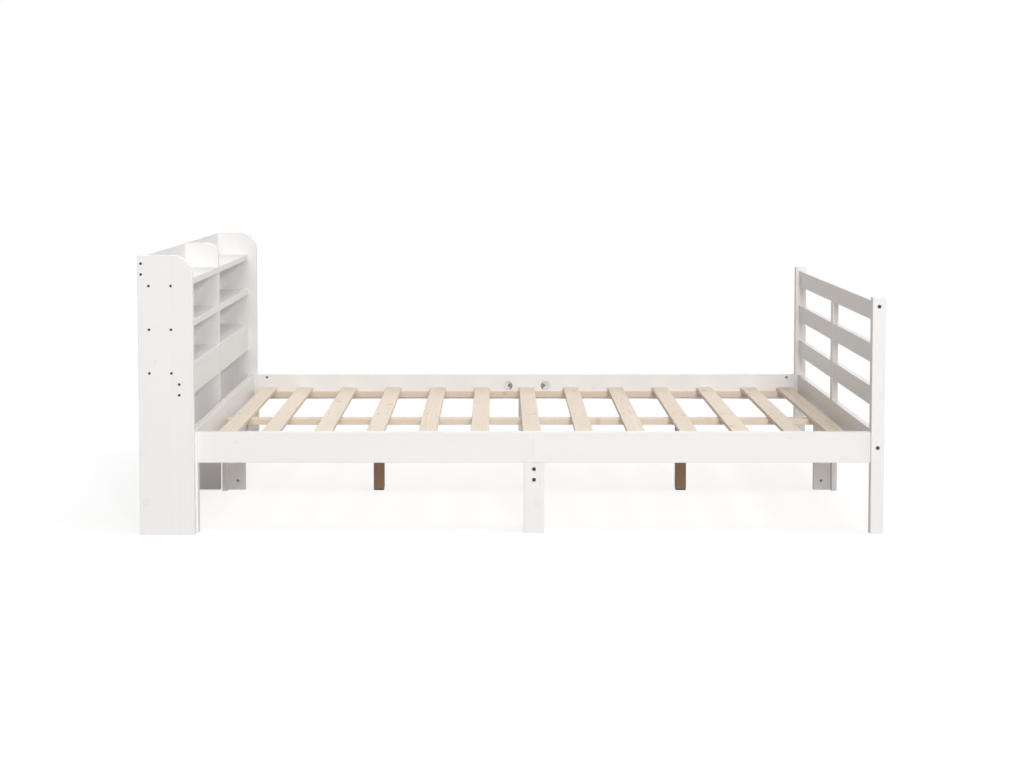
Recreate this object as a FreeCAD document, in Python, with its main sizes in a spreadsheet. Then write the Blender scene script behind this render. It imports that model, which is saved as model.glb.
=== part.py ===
import FreeCAD, Part
import os
import Sketcher
from FreeCAD import Placement, Rotation, Vector

# Bed frame with a bookcase headboard, for a mattress of 1200 by 2000 mm.
# X runs from the head (negative) to the foot, Y across the bed, Z up from the floor.
# The origin is on the floor, in the middle of the overall box. Left is the negative Y side.

doc = FreeCAD.newDocument("bed_frame")

# Driving dimensions in millimetres
sizes = {
    # Side rails and the clear space between them
    "rail_half_length": 1000,
    "clear_width": 1210,
    "rail_thickness": 20,
    "rail_height": 92,
    "rail_bottom": 211,
    # Corner posts and head legs, cut from the same stock
    "post_depth": 39,
    "post_width": 30,
    "post_proud": 10,
    "post_top_margin": 15,
    # Bookcase headboard
    "panel_depth": 162,
    "panel_thickness": 20,
    "panel_height": 830,
    "panel_corner": 60,
    "panel_setback": 7,
    "divider_thickness": 20,
    "divider_corner": 38,
    "shelf_thickness": 20,
    "shelf_pitch": 129.5,
    "tray_depth": 80,
    "back_board_thickness": 20,
    "apron_height": 78,
    "apron_thickness": 20,
    "head_rail_setback": 12,
    # Foot end
    "foot_rail_height": 58,
    "foot_rail_gap": 71,
    "foot_rail_setback": 12,
    "mid_rail_thickness": 20,
    "top_rail_thickness": 24,
    "mullion_width": 30,
    "mullion_thickness": 20,
    # Leg boards under the rails and the braces behind them
    "leg_board_width": 60,
    "leg_board_thickness": 20,
    "center_leg_thickness": 17,
    "brace_width": 57,
    "brace_thickness": 20,
    # Slats and what carries them
    "slat_width": 57,
    "slat_thickness": 14,
    "slat_drop": 48,
    "slat_end_inset": 41,
    "slat_end_pitch": 134,
    "slat_end_gap": 3,
    "slat_round": 3,
    "cleat_depth": 22,
    "cleat_height": 20,
    "cleat_end_gap": 5,
    "beam_width": 40,
    "beam_height": 20,
    "beam_end_gap": 0.5,
    "beam_screw_inset": 28,
    "beam_leg_width": 35,
    "beam_leg_offset": 506,
    "pad_width": 33,
    "pad_thickness": 5,
    # Wood screws with a socket head
    "screw_head": 8,
    "screw_head_depth": 3,
    "screw_sink": 1,
    "screw_shank": 5,
    "screw_length": 44,
    "screw_socket": 4,
    "screw_socket_depth": 2,
    "shelf_screw_spacing": 65,
    "board_screw_spacing": 32,
    "mount_screw_low": 60,
    "mount_screw_high": 160,
    # Slat screws
    "slat_screw_head": 7,
    "slat_screw_head_depth": 2.5,
    "slat_screw_sink": 0.5,
    "slat_screw_shank": 4,
    "slat_screw_length": 24,
    "slat_screw_socket": 3,
    "slat_screw_socket_depth": 1.6,
    "slat_screw_spacing": 31,
    # Bolts with a sunk head and the barrel nuts that they pull on
    "bolt_head": 11,
    "bolt_head_depth": 3.5,
    "bolt_counterbore": 12,
    "bolt_sink": 0.5,
    "bolt_shank": 6,
    "bolt_socket": 5,
    "bolt_socket_depth": 2.3,
    "nut_diameter": 10,
    "nut_length": 12,
    "nut_inset": 32,
    "rail_bolt_drop": 11,
    "top_bolt_drop": 12,
    "side_leg_bolt_drop": 19,
    "side_leg_bolt_spacing": 32,
    "center_bolt_low": 30,
    "center_bolt_high": 160,
    # Joint in the middle of each side rail
    "pocket_diameter": 33,
    "pocket_depth": 15,
    "pocket_offset": 69,
    "joint_rise": 49,
    "joint_rod_depth": 8,
    "joint_nut_width": 10,
    "joint_nut_length": 5,
    "joint_washer_flat": 8,
    "joint_washer_width": 10,
    # Dowels
    "dowel_diameter": 8,
    "dowel_reach": 20,
    "dowel_short_reach": 14,
    "beam_dowel_reach": 8,
    "dowel_spacing": 28,
    "leg_dowel_spacing": 36,
    "rail_dowel_rise": 24,
    "top_dowel_rise": 19,
    "end_dowel_drop": 24,
    # Eased edges and the play of a fastener in its hole
    "edge_round": 1.5,
    "fit_gap": 0.3,
}

sheet = doc.addObject("Spreadsheet::Sheet", "dims")
for row, (name, value) in enumerate(sizes.items(), start=1):
    sheet.set(f"A{row}", name)
    sheet.set(f"B{row}", str(value))
    sheet.setAlias(f"B{row}", name)
doc.recompute()

# Places worked out from the driving dimensions, as expressions
middle = "((dims.panel_depth + dims.panel_setback - dims.post_depth) / 2)"
head_face = f"({middle} - dims.rail_half_length)"
foot_face = f"({middle} + dims.rail_half_length)"
leg_back = f"({head_face} - dims.post_depth)"
panel_front = f"({head_face} - dims.panel_setback)"
panel_back = f"({panel_front} - dims.panel_depth)"
shelf_depth = f"({leg_back} - {panel_back})"
head_board_front = f"({head_face} - dims.head_rail_setback)"
foot_board_inner = f"({foot_face} + (dims.post_depth - dims.rail_thickness) / 2)"
foot_rail_front = f"({foot_face} + dims.foot_rail_setback)"

rail_inner = "(dims.clear_width / 2)"
rail_middle = f"({rail_inner} + dims.rail_thickness / 2)"
rail_outer = f"({rail_inner} + dims.rail_thickness)"
panel_outer = f"({rail_outer} + dims.panel_thickness)"
post_outer = f"({rail_outer} + dims.post_proud)"
post_inner = f"({post_outer} - dims.post_width)"
leg_inner = f"({rail_outer} - dims.post_width)"
leg_board_inner = f"({rail_outer} - dims.leg_board_thickness)"
divider_side = "(dims.divider_thickness / 2)"
mullion_side = "(dims.mullion_width / 2)"

rail_top = "(dims.rail_bottom + dims.rail_height)"
rail_center = "(dims.rail_bottom + dims.rail_height / 2)"
slat_top = f"({rail_top} - dims.slat_drop)"
slat_underside = f"({slat_top} - dims.slat_thickness)"
beam_underside = f"({slat_underside} - dims.beam_height)"
tray_floor = "(dims.panel_height - dims.tray_depth)"
tray_center = "(dims.panel_height - dims.tray_depth / 2)"
foot_rail_step = "(dims.foot_rail_gap + dims.foot_rail_height)"
top_rail_bottom = f"({rail_top} + 2 * {foot_rail_step} + dims.foot_rail_gap)"
post_height = f"({top_rail_bottom} + dims.foot_rail_height + dims.post_top_margin)"

sides = {"left": -1, "right": 1}
axes = "xyz"
directions = {
    "+x": Vector(1, 0, 0),
    "-x": Vector(-1, 0, 0),
    "+y": Vector(0, 1, 0),
    "-y": Vector(0, -1, 0),
    "+z": Vector(0, 0, 1),
    "-z": Vector(0, 0, -1),
}


def on_side(side, place):
    return place if side > 0 else f"(-{place})"


def corner_on_side(side, inner, outer):
    return inner if side > 0 else f"(-{outer})"


def outward(side):
    return "+y" if side > 0 else "-y"


def inward(side):
    return "-y" if side > 0 else "+y"


def moved(place, direction, distance):
    shifted = list(place)
    axis = axes.index(direction[1])
    shifted[axis] = f"({shifted[axis]} {direction[0]} ({distance}))"
    return tuple(shifted)


def opposite(direction):
    return ("-" if direction[0] == "+" else "+") + direction[1]


def turn_to(direction):
    return Rotation(Vector(0, 0, 1), directions[direction])


# Which edges of a board are eased
touching = 0.01


def edges_along(axis):
    others = [name for name in ("XLength", "YLength", "ZLength") if name[0].lower() != axis]
    return lambda edge, box: all(getattr(edge.BoundBox, name) < touching for name in others)


def edges_around(axis):
    length = axis.upper() + "Length"
    return lambda edge, box: getattr(edge.BoundBox, length) < touching


def upright_and_top_edges(edge, box):
    return edges_along("z")(edge, box) or edge.BoundBox.ZMin > box.ZMax - touching


def front_top_corner(edge, box):
    return edge.BoundBox.XMin > box.XMax - touching and edge.BoundBox.ZMin > box.ZMax - touching


class Board:
    """A rectangular board, sketched on its base and padded to its height."""

    def __init__(self, label, size, corner):
        self.label = label
        self.size = size
        self.corner = corner
        self.bore_count = 0
        self.body = doc.addObject("PartDesign::Body", label)
        self.body.Label = label
        sketch = self.body.newObject("Sketcher::SketchObject", label + "_base")
        base_plane = next(plane for plane in self.body.Origin.OriginFeatures if plane.Role == "XY_Plane")
        sketch.AttachmentSupport = [(base_plane, "")]
        sketch.MapMode = "FlatFace"
        self.draw_rectangle(sketch)
        pad = self.body.newObject("PartDesign::Pad", label + "_pad")
        pad.Profile = sketch
        pad.setExpression("Length", size[2])
        for axis, place in zip(axes, corner):
            self.body.setExpression("Placement.Base." + axis, place)
        doc.recompute()

    def draw_rectangle(self, sketch):
        length, width = (sheet.evalExpression(value) for value in self.size[:2])
        points = [Vector(0, 0), Vector(length, 0), Vector(length, width), Vector(0, width)]
        for start, end in zip(points, points[1:] + points[:1]):
            sketch.addGeometry(Part.LineSegment(start, end))
        for line in range(4):
            sketch.addConstraint(Sketcher.Constraint("Coincident", line, 2, (line + 1) % 4, 1))
            sketch.addConstraint(Sketcher.Constraint("Vertical" if line % 2 else "Horizontal", line))
        sketch.addConstraint(Sketcher.Constraint("Coincident", 0, 1, -1, 1))
        across = sketch.addConstraint(Sketcher.Constraint("DistanceX", 0, 1, 0, 2, length))
        along = sketch.addConstraint(Sketcher.Constraint("DistanceY", 1, 1, 1, 2, width))
        sketch.setExpression(f"Constraints[{across}]", self.size[0])
        sketch.setExpression(f"Constraints[{along}]", self.size[1])

    def round_edges(self, chosen, radius="dims.edge_round"):
        base = self.body.Tip
        box = base.Shape.BoundBox
        names = [
            f"Edge{number}"
            for number, edge in enumerate(base.Shape.Edges, start=1)
            if chosen(edge, box)
        ]
        fillet = self.body.newObject("PartDesign::Fillet", self.label + "_round")
        fillet.Base = (base, names)
        fillet.setExpression("Radius", radius)
        doc.recompute()
        return self

    def place_tool(self, tool, place):
        for axis, value, start in zip(axes, place, self.corner):
            tool.setExpression("Placement.Base." + axis, f"{value} - {start}")

    def bore(self, place, direction, diameter, depth):
        self.bore_count += 1
        name = f"{self.label}_bore_{self.bore_count}"
        tool = self.body.newObject("PartDesign::SubtractiveCylinder", name)
        tool.Placement = Placement(Vector(), turn_to(direction))
        tool.setExpression("Radius", f"({diameter}) / 2")
        tool.setExpression("Height", depth)
        self.place_tool(tool, place)

    def notch(self, size, corner):
        tool = self.body.newObject("PartDesign::SubtractiveBox", self.label + "_notch")
        for name, value in zip(("Length", "Width", "Height"), size):
            tool.setExpression(name, value)
        self.place_tool(tool, corner)


boards = {}


def board(label, size, corner):
    boards[label] = Board(label, size, corner)
    return boards[label]


# Bookcase headboard
shelf_names = ("top", "middle", "bottom")
half_span = f"({rail_outer} - {divider_side})"


def shelf_bottom(shelf):
    return f"({tray_floor} - dims.shelf_thickness - {shelf_names.index(shelf)} * dims.shelf_pitch)"


apron_bottom = f"({shelf_bottom('bottom')} - dims.apron_height)"
apron_center = f"({apron_bottom} + dims.apron_height / 2)"
apron_back = f"({leg_back} - dims.apron_thickness)"

for name, side in sides.items():
    panel = board(
        f"headboard_side_{name}",
        ("dims.panel_depth", "dims.panel_thickness", "dims.panel_height"),
        (panel_back, corner_on_side(side, rail_outer, panel_outer), "0"),
    )
    panel.round_edges(front_top_corner, "dims.panel_corner").round_edges(edges_around("y"))
    for shelf in shelf_names:
        board(
            f"{shelf}_shelf_{name}",
            (shelf_depth, half_span, "dims.shelf_thickness"),
            (panel_back, corner_on_side(side, divider_side, rail_outer), shelf_bottom(shelf)),
        ).round_edges(edges_along("y"))
    board(
        f"shelf_apron_{name}",
        ("dims.apron_thickness", half_span, "dims.apron_height"),
        (apron_back, corner_on_side(side, divider_side, rail_outer), apron_bottom),
    ).round_edges(edges_along("y"))

divider = board(
    "headboard_divider",
    (shelf_depth, "dims.divider_thickness", "dims.panel_height"),
    (panel_back, f"(-{divider_side})", "0"),
)
divider.round_edges(front_top_corner, "dims.divider_corner").round_edges(edges_around("y"))
back_board = board(
    "top_back_board",
    ("dims.back_board_thickness", f"2 * {rail_outer}", "dims.tray_depth"),
    (panel_back, f"(-{rail_outer})", tray_floor),
)
back_board.round_edges(edges_along("y"))
divider.notch(
    ("dims.back_board_thickness", "dims.divider_thickness", "dims.tray_depth"),
    (panel_back, f"(-{divider_side})", tray_floor),
)

# Head frame
for name, side in sides.items():
    board(
        f"head_leg_{name}",
        ("dims.post_depth", "dims.post_width", rail_top),
        (leg_back, corner_on_side(side, leg_inner, rail_outer), "0"),
    ).round_edges(upright_and_top_edges)
board(
    "head_rail",
    ("dims.rail_thickness", f"2 * {leg_inner}", "dims.rail_height"),
    (f"({head_board_front} - dims.rail_thickness)", f"(-{leg_inner})", "dims.rail_bottom"),
).round_edges(edges_along("y"))

# Foot frame
for name, side in sides.items():
    board(
        f"foot_post_{name}",
        ("dims.post_depth", "dims.post_width", post_height),
        (foot_face, corner_on_side(side, post_inner, post_outer), "0"),
    ).round_edges(upright_and_top_edges)
    for rail, step in (("lower", 0), ("upper", 1)):
        board(
            f"foot_{rail}_rail_{name}",
            ("dims.mid_rail_thickness", f"{post_inner} - {mullion_side}", "dims.foot_rail_height"),
            (
                foot_rail_front,
                corner_on_side(side, mullion_side, post_inner),
                f"({rail_top} + dims.foot_rail_gap + {step} * {foot_rail_step})",
            ),
        ).round_edges(edges_along("y"))
board(
    "foot_top_rail",
    ("dims.top_rail_thickness", f"2 * {post_inner}", "dims.foot_rail_height"),
    (foot_rail_front, f"(-{post_inner})", top_rail_bottom),
).round_edges(edges_along("y"))
board(
    "foot_mullion",
    ("dims.mullion_thickness", "dims.mullion_width", f"{top_rail_bottom} - {rail_top}"),
    (f"({foot_face} + (dims.post_depth - dims.mullion_thickness) / 2)", f"(-{mullion_side})", rail_top),
).round_edges(edges_along("z"))
board(
    "foot_board",
    ("dims.rail_thickness", f"2 * {post_inner}", "dims.rail_height"),
    (foot_board_inner, f"(-{post_inner})", "dims.rail_bottom"),
).round_edges(edges_along("y"))

# Centre legs under the two end boards, each with a brace that carries an end of the beam
center_leg_fronts = {
    "head": f"({head_board_front} - dims.center_leg_thickness)",
    "foot": foot_board_inner,
}
center_brace_fronts = {
    "head": head_board_front,
    "foot": f"({foot_board_inner} - dims.brace_width)",
}
for end in ("head", "foot"):
    board(
        f"{end}_center_leg",
        ("dims.center_leg_thickness", "dims.leg_board_width", "dims.rail_bottom"),
        (center_leg_fronts[end], "(-dims.leg_board_width / 2)", "0"),
    ).round_edges(edges_along("z"))
    board(
        f"{end}_center_brace",
        ("dims.brace_width", "dims.brace_thickness", beam_underside),
        (center_brace_fronts[end], "(-dims.brace_thickness / 2)", "0"),
    ).round_edges(edges_along("z"))

# Side rails in two halves, with a leg and brace under each joint and cleats for the slats
brace_inner = f"({leg_board_inner} - dims.brace_width)"
cleat_inner = f"({rail_inner} - dims.cleat_depth)"
cleat_length = "(dims.rail_half_length - dims.cleat_end_gap - dims.brace_thickness / 2)"
rail_starts = {"head": head_face, "foot": middle}
cleat_starts = {
    "head": f"({head_face} + dims.cleat_end_gap)",
    "foot": f"({middle} + dims.brace_thickness / 2)",
}
for name, side in sides.items():
    cleat_halves = []
    for end in ("head", "foot"):
        board(
            f"side_rail_{name}_{end}",
            ("dims.rail_half_length", "dims.rail_thickness", "dims.rail_height"),
            (rail_starts[end], corner_on_side(side, rail_inner, rail_outer), "dims.rail_bottom"),
        ).round_edges(edges_along("x"))
        half = Board(
            f"cleat_{name}_{end}",
            (cleat_length, "dims.cleat_depth", "dims.cleat_height"),
            (
                cleat_starts[end],
                corner_on_side(side, cleat_inner, rail_inner),
                f"({slat_underside} - dims.cleat_height)",
            ),
        ).round_edges(edges_along("x"))
        cleat_halves.append(half.body)
    cleat = doc.addObject("Part::Compound", f"cleat_{name}")
    cleat.Links = cleat_halves
    board(
        f"side_leg_{name}",
        ("dims.leg_board_width", "dims.leg_board_thickness", "dims.rail_bottom"),
        (
            f"({middle} - dims.leg_board_width / 2)",
            corner_on_side(side, leg_board_inner, rail_outer),
            "0",
        ),
    ).round_edges(edges_along("z"))
    board(
        f"side_leg_brace_{name}",
        ("dims.brace_thickness", "dims.brace_width", slat_underside),
        (
            f"({middle} - dims.brace_thickness / 2)",
            corner_on_side(side, brace_inner, leg_board_inner),
            "0",
        ),
    ).round_edges(edges_along("z"))

# Centre beam on two square legs with floor pads
beam_start = f"({head_board_front} + dims.beam_end_gap)"
beam = board(
    "center_beam",
    (f"{foot_board_inner} - {beam_start} - dims.beam_end_gap", "dims.beam_width", "dims.beam_height"),
    (beam_start, "(-dims.beam_width / 2)", beam_underside),
)
beam.round_edges(edges_along("x"))
beam_leg_places = {
    "head": f"({middle} - dims.beam_leg_offset)",
    "foot": f"({middle} + dims.beam_leg_offset)",
}
pads = []
for end, place in beam_leg_places.items():
    board(
        f"beam_leg_{end}",
        ("dims.beam_leg_width", "dims.beam_leg_width", f"{beam_underside} - dims.pad_thickness"),
        (f"({place} - dims.beam_leg_width / 2)", "(-dims.beam_leg_width / 2)", "dims.pad_thickness"),
    ).round_edges(edges_along("z"))
    pad = Board(
        f"beam_leg_pad_{end}",
        ("dims.pad_width", "dims.pad_width", "dims.pad_thickness"),
        (f"({place} - dims.pad_width / 2)", "(-dims.pad_width / 2)", "0"),
    )
    pads.append(pad.round_edges(edges_along("z")).body)
pad_pair = doc.addObject("Part::Compound", "beam_leg_pads")
pad_pair.Links = pads

# Slats: one near each end of the rails, and the rest at an even pitch between them
steps_per_half = 5
slat_tip = f"({rail_inner} - dims.slat_end_gap)"
end_slat_offset = "(dims.rail_half_length - dims.slat_end_inset)"
slat_pitch = f"(({end_slat_offset} - dims.slat_end_pitch) / {steps_per_half})"
slat_places = [f"({middle} + {step} * {slat_pitch})" for step in range(-steps_per_half, steps_per_half + 1)]
slat_places.insert(0, f"({middle} - {end_slat_offset})")
slat_places.append(f"({middle} + {end_slat_offset})")
slat_labels = [f"slat_{number:02d}" for number in range(1, len(slat_places) + 1)]
for label, place in zip(slat_labels, slat_places):
    board(
        label,
        ("dims.slat_width", f"2 * {slat_tip}", "dims.slat_thickness"),
        (f"({place} - dims.slat_width / 2)", f"(-{slat_tip})", slat_underside),
    ).round_edges(edges_along("y"), "dims.slat_round")

# Fasteners: each one is listed once, and bores its own hole in every board that it passes
fasteners = {"frame_screws": [], "slat_screws": [], "frame_bolts": [], "frame_nuts": [], "dowels": []}


def size_of(expression):
    return float(sheet.evalExpression(expression))


def point_at(place):
    return Vector(*(size_of(value) for value in place))


def hexagon(width, height):
    corner_radius = width / 3 ** 0.5
    corners = [Rotation(Vector(0, 0, 1), 60 * turn).multVec(Vector(corner_radius, 0, 0)) for turn in range(7)]
    return Part.Face(Part.makePolygon(corners)).extrude(Vector(0, 0, height))


def headed_fastener(kind, length):
    head_depth = size_of(f"dims.{kind}_head_depth")
    head = Part.makeCylinder(size_of(f"dims.{kind}_head") / 2, head_depth)
    shank = Part.makeCylinder(size_of(f"dims.{kind}_shank") / 2, head_depth + length)
    socket = hexagon(size_of(f"dims.{kind}_socket"), size_of(f"dims.{kind}_socket_depth"))
    return head.fuse(shank).removeSplitter().cut(socket)


def drive(group, kind, place, direction, length, head_bore, passed):
    head_top = moved(place, direction, f"dims.{kind}_sink")
    seat = f"dims.{kind}_sink + dims.{kind}_head_depth"
    passed[0].bore(place, direction, head_bore, seat)
    for each in passed:
        each.bore(place, direction, f"dims.{kind}_shank + dims.fit_gap", f"{seat} + {length} + dims.fit_gap")
    solid = headed_fastener(kind, size_of(length))
    solid.Placement = Placement(point_at(head_top), turn_to(direction))
    fasteners[group].append(solid)


def drive_screw(place, direction, passed, kind="screw", group="frame_screws"):
    length = f"(dims.{kind}_length - dims.{kind}_sink - dims.{kind}_head_depth)"
    drive(group, kind, place, direction, length, f"dims.{kind}_head + dims.fit_gap", passed)


def bolt_hole_radius():
    return size_of("(dims.bolt_shank + dims.fit_gap) / 2")


# A bolt through one board into the end of another, where a barrel nut crosses its path
def drive_bolt(place, direction, through, into, grip, nut_direction, nut_cover):
    length = f"({grip} - dims.bolt_sink - dims.bolt_head_depth + dims.nut_diameter / 2)"
    drive("frame_bolts", "bolt", place, direction, length, "dims.bolt_counterbore", [through, into])
    crossing = moved(place, direction, grip)
    mouth = moved(crossing, opposite(nut_direction), nut_cover)
    nut_depth = f"{nut_cover} + dims.nut_length / 2 + dims.fit_gap"
    into.bore(mouth, nut_direction, "dims.nut_diameter + dims.fit_gap", nut_depth)
    nut = Part.makeCylinder(size_of("dims.nut_diameter") / 2, size_of("dims.nut_length"))
    nut_start = moved(crossing, opposite(nut_direction), "dims.nut_length / 2")
    nut.Placement = Placement(point_at(nut_start), turn_to(nut_direction))
    thread = Part.makeCylinder(bolt_hole_radius(), size_of("2 * dims.nut_diameter"))
    thread_start = moved(crossing, opposite(direction), "dims.nut_diameter")
    thread.Placement = Placement(point_at(thread_start), turn_to(direction))
    fasteners["frame_nuts"].append(nut.cut(thread))


def drive_dowel(place, direction, back_reach, front_reach, passed):
    start = moved(place, opposite(direction), back_reach)
    length = f"{back_reach} + {front_reach}"
    for each in passed:
        each.bore(start, direction, "dims.dowel_diameter + dims.fit_gap", length)
    dowel = Part.makeCylinder(size_of("dims.dowel_diameter") / 2, size_of(length))
    dowel.Placement = Placement(point_at(start), turn_to(direction))
    fasteners["dowels"].append(dowel)


def pair_about(place, spacing):
    return [f"({place} - {spacing} / 2)", f"({place} + {spacing} / 2)"]


# Headboard joints
shelf_screw_places = pair_about(f"({panel_back} + {shelf_depth} / 2)", "dims.shelf_screw_spacing")
back_board_middle = f"({panel_back} + dims.back_board_thickness / 2)"
apron_middle = f"({leg_back} - dims.apron_thickness / 2)"
divider_reach = f"({divider_side} + dims.dowel_reach)"
for shelf in shelf_names:
    height = f"({shelf_bottom(shelf)} + dims.shelf_thickness / 2)"
    for along in shelf_screw_places:
        for name, side in sides.items():
            drive_screw(
                (along, on_side(side, panel_outer), height),
                inward(side),
                [boards[f"headboard_side_{name}"], boards[f"{shelf}_shelf_{name}"]],
            )
        drive_dowel(
            (along, "0", height),
            "+y",
            divider_reach,
            divider_reach,
            [divider, boards[f"{shelf}_shelf_left"], boards[f"{shelf}_shelf_right"]],
        )
for height in pair_about(tray_center, "dims.board_screw_spacing"):
    drive_screw((panel_back, "0", height), "+x", [back_board, divider])
    for name, side in sides.items():
        place = (back_board_middle, on_side(side, panel_outer), height)
        drive_screw(place, inward(side), [boards[f"headboard_side_{name}"], back_board])
for height in pair_about(apron_center, "dims.board_screw_spacing"):
    aprons = [boards["shelf_apron_left"], boards["shelf_apron_right"]]
    drive_dowel((apron_middle, "0", height), "+y", divider_reach, divider_reach, [divider] + aprons)
    for name, side in sides.items():
        place = (apron_middle, on_side(side, panel_outer), height)
        drive_screw(place, inward(side), [boards[f"headboard_side_{name}"], boards[f"shelf_apron_{name}"]])
for name, side in sides.items():
    for height in ("dims.mount_screw_low", "dims.mount_screw_high"):
        place = (f"({head_face} - dims.post_depth / 2)", on_side(side, leg_inner), height)
        drive_screw(place, outward(side), [boards[f"head_leg_{name}"], boards[f"headboard_side_{name}"]])

# Corner joints of the side rails with the head legs and the foot posts
corner_grip = "(dims.post_depth + dims.nut_inset)"
for name, side in sides.items():
    corners = {
        "head": (leg_back, head_face, "+x", boards[f"head_leg_{name}"]),
        "foot": (f"({foot_face} + dims.post_depth)", foot_face, "-x", boards[f"foot_post_{name}"]),
    }
    for end, (seat, joint, direction, upright) in corners.items():
        rail = boards[f"side_rail_{name}_{end}"]
        across = on_side(side, rail_middle)
        drive_bolt(
            (seat, across, f"({rail_top} - dims.rail_bolt_drop)"),
            direction,
            upright,
            rail,
            corner_grip,
            outward(side),
            "dims.rail_thickness / 2",
        )
        drive_dowel(
            (joint, across, "(dims.rail_bottom + dims.rail_dowel_rise)"),
            direction,
            "dims.dowel_reach",
            "dims.dowel_reach",
            [upright, rail],
        )

# Head rail between the head legs, foot boards and rails between the foot posts
head_rail_middle = f"({head_board_front} - dims.rail_thickness / 2)"
foot_middle = f"({foot_face} + dims.post_depth / 2)"
mid_rail_middle = f"({foot_rail_front} + dims.mid_rail_thickness / 2)"
top_rail_middle = f"({foot_rail_front} + dims.top_rail_thickness / 2)"
top_rail_back = f"({foot_rail_front} + dims.top_rail_thickness)"
post_grip = "(dims.post_width + dims.nut_inset)"
end_dowel_height = f"({rail_top} - dims.end_dowel_drop)"
top_dowel_height = f"({top_rail_bottom} + dims.top_dowel_rise)"
top_bolt_height = f"({top_rail_bottom} + dims.foot_rail_height - dims.top_bolt_drop)"
head_rail = boards["head_rail"]
foot_board = boards["foot_board"]
foot_top_rail = boards["foot_top_rail"]
for name, side in sides.items():
    leg = boards[f"head_leg_{name}"]
    post = boards[f"foot_post_{name}"]
    drive_bolt(
        (head_rail_middle, on_side(side, rail_outer), rail_center),
        inward(side),
        leg,
        head_rail,
        post_grip,
        "+x",
        "dims.rail_thickness / 2",
    )
    drive_bolt(
        (foot_middle, on_side(side, post_outer), rail_center),
        inward(side),
        post,
        foot_board,
        post_grip,
        "-x",
        "dims.rail_thickness / 2",
    )
    drive_bolt(
        (foot_middle, on_side(side, post_outer), top_bolt_height),
        inward(side),
        post,
        foot_top_rail,
        post_grip,
        "-x",
        f"({top_rail_back} - {foot_middle})",
    )
    reaches = ("dims.dowel_short_reach", "dims.dowel_reach")
    head_place = (head_rail_middle, on_side(side, leg_inner), end_dowel_height)
    drive_dowel(head_place, inward(side), *reaches, [leg, head_rail])
    foot_place = (foot_middle, on_side(side, post_inner), end_dowel_height)
    drive_dowel(foot_place, inward(side), *reaches, [post, foot_board])
    top_place = (top_rail_middle, on_side(side, post_inner), top_dowel_height)
    drive_dowel(top_place, inward(side), *reaches, [post, foot_top_rail])
for rail, step in (("lower", 0), ("upper", 1)):
    center = f"({rail_top} + dims.foot_rail_gap + {step} * {foot_rail_step} + dims.foot_rail_height / 2)"
    for height in pair_about(center, "dims.dowel_spacing"):
        left_rail, right_rail = (boards[f"foot_{rail}_rail_{name}"] for name in sides)
        mullion_reach = f"({mullion_side} + dims.dowel_reach)"
        drive_dowel(
            (mid_rail_middle, "0", height),
            "+y",
            mullion_reach,
            mullion_reach,
            [boards["foot_mullion"], left_rail, right_rail],
        )
        for name, side in sides.items():
            drive_dowel(
                (mid_rail_middle, on_side(side, post_inner), height),
                inward(side),
                "dims.dowel_short_reach",
                "dims.dowel_reach",
                [boards[f"foot_post_{name}"], boards[f"foot_{rail}_rail_{name}"]],
            )
mullion_ends = {"foot_board": (rail_top, "+z"), "foot_top_rail": (top_rail_bottom, "-z")}
for label, (height, direction) in mullion_ends.items():
    drive_dowel(
        (foot_middle, "0", height),
        direction,
        "dims.dowel_short_reach",
        "dims.dowel_reach",
        [boards[label], boards["foot_mullion"]],
    )

# Centre legs: dowels up into the end boards, bolts into the braces, a screw down from the beam
center_joints = {
    "head": (center_leg_fronts["head"], "+x", "head_rail", head_board_front),
    "foot": (f"({foot_board_inner} + dims.center_leg_thickness)", "-x", "foot_board", foot_board_inner),
}
center_leg_grip = "(dims.center_leg_thickness + dims.nut_inset)"
for end, (seat, direction, end_board, brace_face) in center_joints.items():
    leg = boards[f"{end}_center_leg"]
    brace = boards[f"{end}_center_brace"]
    for height in ("dims.center_bolt_low", "dims.center_bolt_high"):
        drive_bolt(
            (seat, "0", height), direction, leg, brace, center_leg_grip, "+y", "dims.brace_thickness / 2"
        )
    leg_middle = moved((seat, "0", "dims.rail_bottom"), direction, "dims.center_leg_thickness / 2")[0]
    for across in pair_about("0", "dims.leg_dowel_spacing"):
        drive_dowel(
            (leg_middle, across, "dims.rail_bottom"),
            "+z",
            "dims.dowel_reach",
            "dims.dowel_reach",
            [leg, boards[end_board]],
        )
    screw_place = moved((brace_face, "0", slat_underside), direction, "dims.beam_screw_inset")
    drive_screw(screw_place, "-z", [beam, brace])

# Side legs: dowels up into both half rails, bolts into the braces
leg_grip = "(dims.leg_board_thickness + dims.nut_inset)"
for name, side in sides.items():
    leg = boards[f"side_leg_{name}"]
    brace = boards[f"side_leg_brace_{name}"]
    for step in (0, 1):
        drop = f"(dims.side_leg_bolt_drop + {step} * dims.side_leg_bolt_spacing)"
        drive_bolt(
            (middle, on_side(side, rail_outer), f"(dims.rail_bottom - {drop})"),
            inward(side),
            leg,
            brace,
            leg_grip,
            "+x",
            "dims.brace_thickness / 2",
        )
    for end, along in zip(("head", "foot"), pair_about(middle, "dims.leg_dowel_spacing")):
        drive_dowel(
            (along, on_side(side, rail_middle), "dims.rail_bottom"),
            "+z",
            "dims.dowel_reach",
            "dims.dowel_reach",
            [leg, boards[f"side_rail_{name}_{end}"]],
        )

# Joint in the middle of each side rail: a rod between two round pockets, with nuts and half-moon washers
joint_height = "(dims.rail_bottom + dims.joint_rise)"


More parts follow.
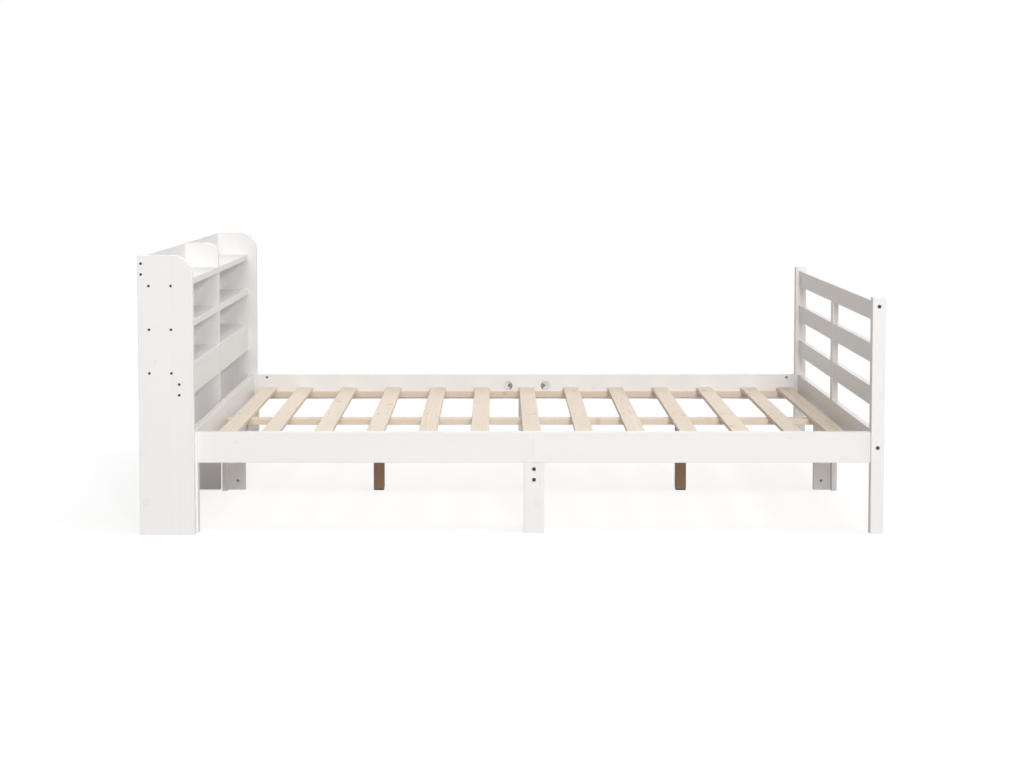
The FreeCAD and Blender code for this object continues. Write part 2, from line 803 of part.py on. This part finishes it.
def joint_washer():
    width = size_of("dims.joint_washer_width")
    flat = size_of("dims.joint_washer_flat")
    reach = size_of("dims.pocket_diameter")
    round_block = Part.makeCylinder(size_of("(dims.pocket_diameter - dims.fit_gap) / 2"), width)
    keep = Part.makeBox(reach, reach, reach, Vector(flat, -reach / 2, 0))
    hole = Part.makeCylinder(bolt_hole_radius(), reach)
    hole.Placement = Placement(Vector(0, 0, width / 2), turn_to("+x"))
    return round_block.common(keep).cut(hole)


def joint_nut():
    length = size_of("dims.joint_nut_length")
    hole = Part.makeCylinder(bolt_hole_radius(), length)
    return hexagon(size_of("dims.joint_nut_width"), length).cut(hole)


for name, side in sides.items():
    rod_across = on_side(side, f"({rail_inner} + dims.joint_rod_depth)")
    rod_start = (f"({middle} - dims.pocket_offset)", rod_across, joint_height)
    rod_length = "2 * dims.pocket_offset"
    rod = Part.makeCylinder(size_of("dims.bolt_shank") / 2, size_of(rod_length))
    rod.Placement = Placement(point_at(rod_start), turn_to("+x"))
    fasteners["frame_bolts"].append(rod)
    for end, to_joint in (("head", "+x"), ("foot", "-x")):
        rail = boards[f"side_rail_{name}_{end}"]
        pocket_center = moved((middle, rod_across, joint_height), opposite(to_joint), "dims.pocket_offset")
        mouth = (pocket_center[0], on_side(side, rail_inner), joint_height)
        rail.bore(mouth, outward(side), "dims.pocket_diameter", "dims.pocket_depth")
        rail.bore(rod_start, "+x", "dims.bolt_shank + dims.fit_gap", rod_length)
        upright = Vector(0, 1, 0)
        toward_joint = directions[to_joint]
        washer = joint_washer()
        washer_turn = Rotation(toward_joint, toward_joint.cross(upright) * -1, upright, "XZY")
        washer_base = point_at(pocket_center) - upright * size_of("dims.joint_washer_width") / 2
        washer.Placement = Placement(washer_base, washer_turn)
        nut = joint_nut()
        nut_place = moved(pocket_center, to_joint, "dims.joint_washer_flat - dims.joint_nut_length")
        nut.Placement = Placement(point_at(nut_place), turn_to(to_joint))
        fasteners["frame_nuts"] += [washer, nut]

# Beam legs on dowels, slats screwed to the beam
for end, place in beam_leg_places.items():
    drive_dowel(
        (place, "0", beam_underside),
        "+z",
        "dims.dowel_reach",
        "dims.beam_dowel_reach",
        [boards[f"beam_leg_{end}"], beam],
    )
for label, place in zip(slat_labels, slat_places):
    for along in pair_about(place, "dims.slat_screw_spacing"):
        drive_screw((along, "0", slat_top), "-z", [boards[label], beam], "slat_screw", "slat_screws")

for label, solids in fasteners.items():
    group = doc.addObject("Part::Feature", label)
    group.Label = label
    group.Shape = Part.makeCompound(solids)
    group.Placement = Placement()

doc.recompute()

for item in doc.Objects:
    if "Invalid" in item.State or "Error" in item.State:
        raise RuntimeError(f"{item.Label} did not build")

grouped = [item.Label for item in doc.Objects if item.TypeId == "Part::Compound"]
nodes = {label: each.body for label, each in boards.items()}
nodes.update({label: doc.getObject(label) for label in grouped + list(fasteners)})
for label, node in nodes.items():
    if node.Shape.isNull() or not node.Shape.isValid():
        raise RuntimeError(f"{label} has no valid shape")

os.makedirs("parts", exist_ok=True)
for label, node in nodes.items():
    node.Shape.exportStep(f"parts/{label}.step")
print(len(nodes), "nodes written")
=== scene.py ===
import math
import bpy
from mathutils import Matrix, Vector


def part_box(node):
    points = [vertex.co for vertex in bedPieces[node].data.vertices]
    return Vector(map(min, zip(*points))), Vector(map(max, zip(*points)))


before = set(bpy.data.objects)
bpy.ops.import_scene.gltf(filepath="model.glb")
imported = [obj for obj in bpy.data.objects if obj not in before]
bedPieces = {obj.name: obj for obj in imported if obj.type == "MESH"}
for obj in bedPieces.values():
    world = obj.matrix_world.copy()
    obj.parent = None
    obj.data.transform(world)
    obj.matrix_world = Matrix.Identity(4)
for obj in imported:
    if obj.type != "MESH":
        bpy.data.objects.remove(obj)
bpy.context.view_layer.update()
print("bed frame loaded,", len(bedPieces), "pieces")


# node helpers
def joinTo(tree, source, socket):
    if isinstance(source, bpy.types.NodeSocket):
        tree.links.new(source, socket)
    else:
        socket.default_value = source


def addNode(tree, kind, inputs, **settings):
    node = tree.nodes.new("ShaderNode" + kind)
    for name, value in settings.items():
        setattr(node, name, value)
    for name, value in inputs.items():
        joinTo(tree, value, node.inputs[name])
    return node


def calc(tree, operation, *values):
    return addNode(tree, "Math", dict(enumerate(values)), operation=operation).outputs[0]


def calcVector(tree, operation, *values):
    node = addNode(tree, "VectorMath", dict(enumerate(values)), operation=operation)
    return node.outputs["Value" if operation == "LENGTH" else "Vector"]


def ramp(tree, value, start, end, low=0.0, high=1.0):  # smooth step from low to high
    inputs = {"Value": value, "From Min": start, "From Max": end, "To Min": low, "To Max": high}
    return addNode(tree, "MapRange", inputs, interpolation_type="SMOOTHSTEP").outputs["Result"]


def blendColour(tree, share, first, second):
    node = addNode(tree, "Mix", {}, data_type="RGBA")
    joinTo(tree, share, node.inputs["Factor"])
    for socket, value in zip([s for s in node.inputs if s.type == "RGBA"], (first, second)):
        joinTo(tree, value, socket)
    return [s for s in node.outputs if s.type == "RGBA"][0]


def layColour(tree, colour, mask, shows, layer):  # a layer over the colour, where its mask shows it
    return blendColour(tree, calc(tree, "MULTIPLY", mask, shows), colour, layer)


def noise(tree, place, scale, detail=2.0, rough=0.5):
    inputs = {"Vector": place, "Scale": scale, "Detail": detail, "Roughness": rough}
    return addNode(tree, "TexNoise", inputs).outputs["Fac"]


def objectPlace(tree):
    return addNode(tree, "TexCoord", {}).outputs["Object"]


def newGroup(name, inputs, outputs):
    group = bpy.data.node_groups.new(name, "ShaderNodeTree")
    for label, kind in inputs.items():
        group.interface.new_socket(name=label, in_out="INPUT", socket_type="NodeSocket" + kind)
    for label in outputs:
        group.interface.new_socket(name=label, in_out="OUTPUT", socket_type="NodeSocketFloat")
    return group, group.nodes.new("NodeGroupInput").outputs, group.nodes.new("NodeGroupOutput").inputs


# growth rings, fibres and knots of a sawn pine board: x along it, y across, z through
# a noise is given as its scale, detail and roughness
pineSizes = {
    "seedSkew": 0.73,                   # shift across for each unit of shift along
    "knotCells": (5.2, 7.6, 0.0),       # cells per metre along and across
    "knotsKept": 0.62,                  # cells whose chance is lower have no knot
    "knotRadius": (0.045, 0.085),       # in cells
    "knotAway": 9.0,                    # puts a knot that is not kept out of reach
    "setKnot": (70.0, 105.0, 0.0),      # knots given one by one: one over their half length and half width
    "knotJoin": 0.3,                    # how softly both kinds of knots meet
    "knotRagged": {"scale": 160.0, "depth": 0.35},
    "knotRim": (1.3, 0.85),
    "knotTurns": 3.5,                   # rings inside a knot
    "knotRings": (0.2, 0.9, 0.4, 1.0),
    "bowReach": (3.6, 0.7),             # where the rings bow round a knot
    "bowPush": 0.005,
    "ringWidth": 0.0042,
    "ringWander": 0.016,
    "wanderStretch": (1.6, 9.0, 9.0),
    "wanderNoise": (1.0, 1.0, 0.5),
    "lateStarts": (0.3, 0.88),          # share of a ring at which late wood sets in
    "lateEnds": (1.0, 0.9),
    "fibreStretch": (7.0, 330.0, 330.0),
    "fibreNoise": (1.0, 3.0, 0.65),
    "toneStretch": (1.1, 4.0, 4.0),
    "toneNoise": (1.0, 2.0, 0.5),
}


def makePineFigure():
    sizes = pineSizes
    tree, given, result = newGroup(
        "pineFigure",
        {"Place": "Vector", "Heart": "Vector", "Seed": "Float", "Set Knot": "Vector"},
        ("Rings", "Fibre", "Knots", "Tone"),
    )
    skewed = calc(tree, "MULTIPLY", given["Seed"], sizes["seedSkew"])
    shift = addNode(tree, "CombineXYZ", {"X": given["Seed"], "Y": skewed})
    seeded = calcVector(tree, "ADD", given["Place"], shift.outputs[0])

    cells = calcVector(tree, "MULTIPLY", seeded, sizes["knotCells"])
    voronoi = addNode(tree, "TexVoronoi", {"Vector": cells, "Scale": 1.0}, voronoi_dimensions="2D")
    chance = addNode(tree, "SeparateColor", {"Color": voronoi.outputs["Color"]}).outputs
    kept = calc(tree, "GREATER_THAN", chance[0], sizes["knotsKept"])
    radius = ramp(tree, chance[1], 0.0, 1.0, *sizes["knotRadius"])
    grown = calc(tree, "DIVIDE", voronoi.outputs["Distance"], radius)
    away = calc(tree, "MULTIPLY", calc(tree, "SUBTRACT", 1.0, kept), sizes["knotAway"])
    grown = calc(tree, "ADD", grown, away)
    fromSet = calcVector(tree, "SUBTRACT", given["Place"], given["Set Knot"])
    setReach = calcVector(tree, "LENGTH", calcVector(tree, "MULTIPLY", fromSet, sizes["setKnot"]))
    reach = calc(tree, "SMOOTH_MIN", grown, setReach, sizes["knotJoin"])
    ragged = noise(tree, seeded, sizes["knotRagged"]["scale"])
    reach = calc(tree, "MULTIPLY_ADD", ragged, sizes["knotRagged"]["depth"], reach)
    knot = ramp(tree, reach, *sizes["knotRim"])
    knotTurn = calc(tree, "FRACT", calc(tree, "MULTIPLY", reach, sizes["knotTurns"]))
    knotRing = calc(tree, "MULTIPLY", knot, ramp(tree, knotTurn, *sizes["knotRings"]))

    fromHeart = calcVector(tree, "SUBTRACT", given["Place"], given["Heart"])
    section = calcVector(tree, "MULTIPLY", fromHeart, (0.0, 1.0, 1.0))
    wander = noise(tree, calcVector(tree, "MULTIPLY", seeded, sizes["wanderStretch"]), *sizes["wanderNoise"])
    spread = calc(tree, "MULTIPLY_ADD", wander, sizes["ringWander"], calcVector(tree, "LENGTH", section))
    bow = ramp(tree, reach, *sizes["bowReach"])
    spread = calc(tree, "MULTIPLY_ADD", bow, sizes["bowPush"], spread)
    turn = calc(tree, "FRACT", calc(tree, "DIVIDE", spread, sizes["ringWidth"]))
    lateRise = ramp(tree, turn, *sizes["lateStarts"])
    late = calc(tree, "MULTIPLY", lateRise, ramp(tree, turn, *sizes["lateEnds"]))

    fibre = noise(tree, calcVector(tree, "MULTIPLY", seeded, sizes["fibreStretch"]), *sizes["fibreNoise"])
    tone = noise(tree, calcVector(tree, "MULTIPLY", seeded, sizes["toneStretch"]), *sizes["toneNoise"])
    for label, value in {"Rings": late, "Fibre": fibre, "Knots": knotRing, "Tone": tone}.items():
        joinTo(tree, value, result[label])
    return tree


# rubbed arrises and sawn ends of a board, from its own half size
edgeSizes = {
    "rubbed": (0.0028, 0.00084),
    "ragged": {"noise": (75.0, 3.0, 0.6), "depth": 0.0022},
    "sawn": (0.0009, 0.0004),
}


def makeBoardEdges():
    sizes = edgeSizes
    tree, given, result = newGroup("boardEdges", {"Place": "Vector", "Half Size": "Vector"}, ("Edge", "End"))
    inside = calcVector(tree, "SUBTRACT", given["Half Size"], calcVector(tree, "ABSOLUTE", given["Place"]))
    along, across, through = addNode(tree, "SeparateXYZ", {"Vector": inside}).outputs
    lesser = calc(tree, "MINIMUM", along, across)
    greater = calc(tree, "MAXIMUM", along, across)
    depth = calc(tree, "MAXIMUM", lesser, calc(tree, "MINIMUM", greater, through))
    ragged = noise(tree, given["Place"], *sizes["ragged"]["noise"])
    rub = calc(tree, "MULTIPLY", ragged, sizes["ragged"]["depth"])
    joinTo(tree, ramp(tree, calc(tree, "ADD", depth, rub), *sizes["rubbed"]), result["Edge"])
    joinTo(tree, ramp(tree, along, *sizes["sawn"]), result["End"])
    return tree


pineFigure = makePineFigure()
boardEdges = makeBoardEdges()
print("pine figure and edge wear groups made")


# which way each board's grain runs: along, across and through
grainRuns = {
    "headboard_side": "zxy",
    "headboard_divider": "zxy",
    "top_shelf": "yxz",
    "middle_shelf": "yxz",
    "bottom_shelf": "yxz",
    "shelf_apron": "yzx",
    "top_back_board": "yzx",
    "head_leg": "zxy",
    "head_rail": "yzx",
    "head_center_leg": "zyx",
    "head_center_brace": "zxy",
    "foot_post": "zxy",
    "foot_top_rail": "yzx",
    "foot_upper_rail": "yzx",
    "foot_lower_rail": "yzx",
    "foot_mullion": "zyx",
    "foot_board": "yzx",
    "foot_center_leg": "zyx",
    "foot_center_brace": "zxy",
    "side_rail": "xzy",
    "side_leg_brace": "zyx",
    "side_leg": "zxy",
    "cleat": "xzy",
    "center_beam": "xyz",
    "beam_leg": "zxy",
    "slat": "yxz",
}

# how each board was cut from the trunk, and knots given one by one: along and across from its middle
boardCuts = {
    "seedStep": 2.37,
    "heartAcross": {"reach": 0.05, "step": 2.4},
    "heartBelow": {"middle": 0.028, "reach": 0.02, "step": 1.7},
    "setKnots": {"head_rail": (0.0, 0.004, 0.0), "foot_post_left": (0.06, 0.008, 0.0)},
    "noSetKnot": (9.0, 9.0, 0.0),
}


def startMaterial(name):
    material = bpy.data.materials.new(name)
    material.use_nodes = True
    tree = material.node_tree
    return material, tree, tree.nodes["Principled BSDF"].inputs


# the board's own frame, centred on it, with its figure and its edges
def readBoard(tree, name, seed):
    cut = boardCuts
    run = next(run for start, run in grainRuns.items() if name.startswith(start))
    low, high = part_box(name)
    order = ["xyz".index(axis) for axis in run]
    turn = Matrix([[1.0 if column == axis else 0.0 for column in range(3)] for axis in order])
    if turn.determinant() < 0:
        turn[2] = -turn[2]
    place = addNode(tree, "Mapping", {"Vector": objectPlace(tree)})
    place.inputs["Rotation"].default_value = turn.to_euler()
    place.inputs["Location"].default_value = -(turn @ ((low + high) / 2))
    figure = addNode(tree, "Group", {}, node_tree=pineFigure)
    edges = addNode(tree, "Group", {}, node_tree=boardEdges)
    joinTo(tree, place.outputs[0], figure.inputs["Place"])
    joinTo(tree, place.outputs[0], edges.inputs["Place"])
    figure.inputs["Seed"].default_value = seed * cut["seedStep"]
    heartAcross = cut["heartAcross"]["reach"] * math.sin(seed * cut["heartAcross"]["step"])
    heartSwing = cut["heartBelow"]["reach"] * math.cos(seed * cut["heartBelow"]["step"])
    figure.inputs["Heart"].default_value = (0.0, heartAcross, cut["heartBelow"]["middle"] + heartSwing)
    figure.inputs["Set Knot"].default_value = cut["setKnots"].get(name, cut["noSetKnot"])
    edges.inputs["Half Size"].default_value = [(high - low)[axis] / 2 for axis in order]
    return place.outputs[0], figure.outputs, edges.outputs


def addBump(tree, shader, height, bumps):
    inputs = {"Height": height, "Strength": bumps["strength"], "Distance": bumps["height"]}
    joinTo(tree, addNode(tree, "Bump", inputs).outputs["Normal"], shader["Normal"])


# satin white paint through which the pine's figure shows a little
whitePaint = {
    "white": (0.865, 0.858, 0.853, 1.0),
    "shade": (0.842, 0.832, 0.823, 1.0),
    "ring": (0.79, 0.765, 0.735, 1.0),
    "knot": (0.56, 0.50, 0.44, 1.0),
    "bare": (0.66, 0.56, 0.45, 1.0),
    "shadeShows": (0.35, 0.7),
    "ringShows": 0.16,
    "knotShows": 0.14,
    "edgeShows": 0.20,
    "strongFigure": {"head_rail": 2.6, "head_center_brace": 2.6, "headboard_side_right": 1.8},
    "stippleScale": 700.0,
    "rough": {"smooth": 0.36, "stipple": 0.14, "edge": 0.12},
    "relief": {"ring": 0.7, "fibre": 0.6, "stipple": 0.5},
    "bumps": {"strength": 0.22, "height": 0.0004},
    "specular": 0.4,
}


def paintedBoard(name, seed):
    finish = whitePaint
    material, tree, shader = startMaterial("whitePaint_" + name)
    place, figure, edges = readBoard(tree, name, seed)
    strength = finish["strongFigure"].get(name, 1.0)
    shaded = ramp(tree, figure["Tone"], *finish["shadeShows"])
    colour = blendColour(tree, shaded, finish["white"], finish["shade"])
    colour = layColour(tree, colour, figure["Rings"], finish["ringShows"] * strength, finish["ring"])
    colour = layColour(tree, colour, figure["Knots"], finish["knotShows"] * strength, finish["knot"])
    colour = layColour(tree, colour, edges["Edge"], finish["edgeShows"], finish["bare"])
    joinTo(tree, colour, shader["Base Color"])
    stipple = noise(tree, place, finish["stippleScale"])
    rough = calc(tree, "MULTIPLY_ADD", edges["Edge"], finish["rough"]["edge"], finish["rough"]["smooth"])
    rough = calc(tree, "MULTIPLY_ADD", stipple, finish["rough"]["stipple"], rough)
    joinTo(tree, rough, shader["Roughness"])
    height = calc(tree, "MULTIPLY", figure["Fibre"], finish["relief"]["fibre"])
    height = calc(tree, "MULTIPLY_ADD", figure["Rings"], finish["relief"]["ring"], height)
    height = calc(tree, "MULTIPLY_ADD", stipple, finish["relief"]["stipple"], height)
    addBump(tree, shader, height, finish["bumps"])
    shader["Specular IOR Level"].default_value = finish["specular"]
    return material


# planed bare pine of the slats and what carries them
barePine = {
    "early": (0.845, 0.750, 0.632, 1.0),
    "warm": (0.812, 0.697, 0.560, 1.0),
    "late": (0.700, 0.520, 0.340, 1.0),
    "knot": (0.400, 0.240, 0.130, 1.0),
    "sawn": (0.660, 0.510, 0.360, 1.0),
    "rubbed": (0.910, 0.830, 0.715, 1.0),
    # darker brown of the beam legs, beam and cleats: partly the wood's own colour, partly painted shade for
    # the shade under the slats and rails
    "darkAndShade": (0.270, 0.162, 0.098, 1.0),
    "warmShows": (0.32, 0.72),
    "streaks": (0.2, 0.8, 0.6, 1.0),
    "ringShows": 0.36,
    "knotShows": 0.48,
    "sawnShows": 0.55,
    "rubbedShows": 0.35,
    "darkAndShadeShows": {
        "beam_leg_head": 1.0,
        "beam_leg_foot": 1.0,
        "center_beam": 0.10,
        "cleat_left": 0.16,
        "cleat_right": 0.16,
    },
    "darkAndShadeWhere": (0.1, 0.9),
    "darkAndShadeLeast": 0.9,               # share of that on the palest fibres
    "rough": {"smooth": 0.46, "fibre": 0.22},
    "ringRelief": 0.6,
    "bumps": {"strength": 0.3, "height": 0.0004},
    "specular": 0.3,
}


def bareBoard(name, seed):
    finish = barePine
    material, tree, shader = startMaterial("barePine_" + name)
    _, figure, edges = readBoard(tree, name, seed)
    warmed = ramp(tree, figure["Tone"], *finish["warmShows"])
    colour = blendColour(tree, warmed, finish["early"], finish["warm"])
    streaks = calc(tree, "MULTIPLY", figure["Rings"], ramp(tree, figure["Fibre"], *finish["streaks"]))
    colour = layColour(tree, colour, streaks, finish["ringShows"], finish["late"])
    colour = layColour(tree, colour, figure["Knots"], finish["knotShows"], finish["knot"])
    colour = layColour(tree, colour, edges["End"], finish["sawnShows"], finish["sawn"])
    colour = layColour(tree, colour, edges["Edge"], finish["rubbedShows"], finish["rubbed"])
    # painted shade: the beam legs, beam and cleats are darkened towards a deep brown for the shade under the
    # bed
    darkAndShade = finish["darkAndShadeShows"].get(name, 0.0)
    if darkAndShade:
        darkAndShadeShare = ramp(tree, figure["Fibre"], *finish["darkAndShadeWhere"], darkAndShade * finish["darkAndShadeLeast"], darkAndShade)
        colour = blendColour(tree, darkAndShadeShare, colour, finish["darkAndShade"])
    joinTo(tree, colour, shader["Base Color"])
    rough = calc(tree, "MULTIPLY_ADD", figure["Fibre"], finish["rough"]["fibre"], finish["rough"]["smooth"])
    joinTo(tree, rough, shader["Roughness"])
    height = calc(tree, "MULTIPLY_ADD", figure["Rings"], finish["ringRelief"], figure["Fibre"])
    addBump(tree, shader, height, finish["bumps"])
    shader["Specular IOR Level"].default_value = finish["specular"]
    return material


# steel of the screws, bolts and nuts: darker or lighter plating, with handling marks
steelFinishes = {
    "dark_steel": {"plate": (0.050, 0.050, 0.053, 1.0), "worn": (0.26, 0.26, 0.27, 1.0), "rough": 0.32},
    "zinc_steel": {"plate": (0.190, 0.190, 0.197, 1.0), "worn": (0.40, 0.40, 0.405, 1.0), "rough": 0.34},
}
steelMarks = {
    "markNoise": (900.0, 4.0, 0.7),
    "wornWhere": (0.5, 0.8),
    "wornShows": 0.7,
    "spangleScale": 420.0,
    "spangleRough": 0.22,
    "bumps": {"strength": 0.15, "height": 0.0001},
    "metallic": 0.9,
}


def steel(name):
    finish = steelFinishes[name]
    material, tree, shader = startMaterial(name + "Plated")
    place = objectPlace(tree)
    marks = noise(tree, place, *steelMarks["markNoise"])
    cells = addNode(tree, "TexVoronoi", {"Vector": place, "Scale": steelMarks["spangleScale"]})
    worn = ramp(tree, marks, *steelMarks["wornWhere"])
    colour = layColour(tree, finish["plate"], worn, steelMarks["wornShows"], finish["worn"])
    joinTo(tree, colour, shader["Base Color"])
    spangle = cells.outputs["Distance"]
    rough = calc(tree, "MULTIPLY_ADD", spangle, steelMarks["spangleRough"], finish["rough"])
    joinTo(tree, rough, shader["Roughness"])
    addBump(tree, shader, marks, steelMarks["bumps"])
    shader["Metallic"].default_value = steelMarks["metallic"]
    return material


# beech dowels, seen only in the joints
dowelWood = {
    "pale": (0.70, 0.54, 0.37, 1.0),
    "fleck": (0.50, 0.34, 0.20, 1.0),
    "fleckNoise": (650.0, 3.0, 0.6),
    "fleckWhere": (0.45, 0.75),
    "rough": {"smooth": 0.5, "fleck": 0.2},
    "bumps": {"strength": 0.3, "height": 0.0003},
}


def dowelBeech():
    finish = dowelWood
    material, tree, shader = startMaterial("beechDowel")
    flecks = noise(tree, objectPlace(tree), *finish["fleckNoise"])
    colour = blendColour(tree, ramp(tree, flecks, *finish["fleckWhere"]), finish["pale"], finish["fleck"])
    joinTo(tree, colour, shader["Base Color"])
    rough = calc(tree, "MULTIPLY_ADD", flecks, finish["rough"]["fleck"], finish["rough"]["smooth"])
    joinTo(tree, rough, shader["Roughness"])
    addBump(tree, shader, flecks, finish["bumps"])
    return material


# pressed felt under the two beam legs
feltSheet = {
    "dark": (0.075, 0.068, 0.062, 1.0),
    "hair": (0.20, 0.185, 0.17, 1.0),
    "hairNoise": (1400.0, 5.0, 0.75),
    "hairWhere": (0.4, 0.75),
    "rough": {"smooth": 0.86, "hair": 0.12},
    "bumps": {"strength": 0.8, "height": 0.0012},
    "sheen": 0.4,
}


def pressedFelt():
    finish = feltSheet
    material, tree, shader = startMaterial("pressedFelt")
    matted = noise(tree, objectPlace(tree), *finish["hairNoise"])
    colour = blendColour(tree, ramp(tree, matted, *finish["hairWhere"]), finish["dark"], finish["hair"])
    joinTo(tree, colour, shader["Base Color"])
    rough = calc(tree, "MULTIPLY_ADD", matted, finish["rough"]["hair"], finish["rough"]["smooth"])
    joinTo(tree, rough, shader["Roughness"])
    addBump(tree, shader, matted, finish["bumps"])
    shader["Sheen Weight"].default_value = finish["sheen"]
    return material


smallFinishes = {
    "dark_steel": steel("dark_steel"),
    "zinc_steel": steel("zinc_steel"),
    "dowel_wood": dowelBeech(),
    "felt": pressedFelt(),
}
boardFinishes = {"white_paint": paintedBoard, "bare_pine": bareBoard}
for seed, (name, piece) in enumerate(sorted(bedPieces.items())):
    slotName = piece.material_slots[0].material.name.split(".")[0]
    if slotName in smallFinishes:
        finished = smallFinishes[slotName]
    else:
        finished = boardFinishes[slotName](name, seed)
    for holder in piece.material_slots:
        holder.material = finished
print("finishes on all pieces")


# white floor with a faint shadow, white surround
studio = {
    "floorSize": 60.0,
    "floorDrop": 0.0004,
    "floorSeen": (1.0, 1.0, 1.0, 1.0),
    "floorGlow": 1.13,
    "floorBounce": (0.62, 0.60, 0.585, 1.0),
    "floorRough": 0.9,
    "shadowShows": 0.32,
    "surroundSeen": (1.0, 1.0, 1.0, 1.0),
    "ambient": (1.0, 0.92, 0.885, 1.0),
    "ambientLevel": 0.24,
}


def seenRays(tree):  # camera, mirror and glass rays see the white surround
    rays = addNode(tree, "LightPath", {}).outputs
    mirrored = calc(tree, "MAXIMUM", rays["Is Glossy Ray"], rays["Is Transmission Ray"])
    return calc(tree, "MAXIMUM", rays["Is Camera Ray"], mirrored)


bpy.ops.object.select_all(action="DESELECT")
bpy.ops.mesh.primitive_plane_add(size=studio["floorSize"], location=(0, 0, -studio["floorDrop"]))
floor = bpy.context.active_object
floor.name = "studioFloor"
floorMaterial, floorTree, floorShader = startMaterial("paleFloor")
floorSeen = seenRays(floorTree)
floorColour = blendColour(floorTree, floorSeen, studio["floorBounce"], studio["floorSeen"])
joinTo(floorTree, floorColour, floorShader["Base Color"])
floorShader["Roughness"].default_value = studio["floorRough"]
floorShader["Specular IOR Level"].default_value = 0.0
glow = addNode(floorTree, "Emission", {"Color": studio["floorSeen"], "Strength": studio["floorGlow"]})
glowShare = calc(floorTree, "MULTIPLY", floorSeen, 1 - studio["shadowShows"])
floorMix = addNode(floorTree, "MixShader", {"Fac": glowShare})
joinTo(floorTree, floorTree.nodes["Principled BSDF"].outputs[0], floorMix.inputs[1])
joinTo(floorTree, glow.outputs[0], floorMix.inputs[2])
joinTo(floorTree, floorMix.outputs[0], floorTree.nodes["Material Output"].inputs["Surface"])
floor.data.materials.append(floorMaterial)

world = bpy.data.worlds.new("whiteSurround")
bpy.context.scene.world = world
world.use_nodes = True
worldTree = world.node_tree
ambient = worldTree.nodes["Background"]
ambient.inputs["Color"].default_value = studio["ambient"]
ambient.inputs["Strength"].default_value = studio["ambientLevel"]
white = addNode(worldTree, "Background", {"Color": studio["surroundSeen"], "Strength": 1.0})
surround = addNode(worldTree, "MixShader", {"Fac": seenRays(worldTree)})
joinTo(worldTree, ambient.outputs[0], surround.inputs[1])
joinTo(worldTree, white.outputs[0], surround.inputs[2])
joinTo(worldTree, surround.outputs[0], worldTree.nodes["World Output"].inputs["Surface"])

# even lamps: softly from the foot end, from above the front, from overhead, and weaker from behind
lamps = {
    "footLamp": {"from": (0.96, -0.25, 0.14), "spread": 60.0, "level": 0.88},
    "frontLamp": {"from": (0.0, -0.968, 0.25), "spread": 16.0, "level": 0.93},
    "topLamp": {"from": (0.30, -0.10, 0.95), "spread": 40.0, "level": 1.01},
    "backLamp": {"from": (-0.05, 0.92, 0.39), "spread": 50.0, "level": 0.80},
}


def addLamp(name, kind, place, toward):
    light = bpy.data.lights.new(name, kind)
    holder = bpy.data.objects.new(name, light)
    bpy.context.scene.collection.objects.link(holder)
    holder.location = place
    holder.rotation_euler = (Vector(place) - Vector(toward)).to_track_quat("Z", "Y").to_euler()
    return light


lampDistance = 6.0
for name, lamp in lamps.items():
    light = addLamp(name, "SUN", Vector(lamp["from"]) * lampDistance, (0.0, 0.0, 0.0))
    light.angle = math.radians(lamp["spread"])
    light.energy = lamp["level"]

# a nearer lamp in front, in line with the foot end, so that the foot rails throw no stripes
keyLamp = {"place": (1.0, -6.0, 2.2), "toward": (0.0, 0.0, 0.35), "size": 0.5, "power": 86.0}
light = addLamp("keyLamp", "AREA", keyLamp["place"], keyLamp["toward"])
light.shape = "DISK"
light.size = keyLamp["size"]
light.energy = keyLamp["power"]
print("floor, surround and lamps set")

# camera at the photograph's place, almost level, with its frame shifted down to the bed
view = {
    "place": (-0.0430, -5.4238, 1.1485),
    "tilt": 2.928,
    "lens": 57.227,
    "sensor": 36.0,
    "shift": (0.01401, -0.15),
}
cameraData = bpy.data.cameras.new("sideView")
cameraData.sensor_width = view["sensor"]
cameraData.lens = view["lens"]
cameraData.shift_x, cameraData.shift_y = view["shift"]
camera = bpy.data.objects.new("sideView", cameraData)
bpy.context.scene.collection.objects.link(camera)
camera.location = view["place"]
camera.rotation_euler = (math.radians(90 - view["tilt"]), 0.0, 0.0)
bpy.context.scene.camera = camera
bpy.context.scene.view_settings.view_transform = "Standard"
print("camera set")
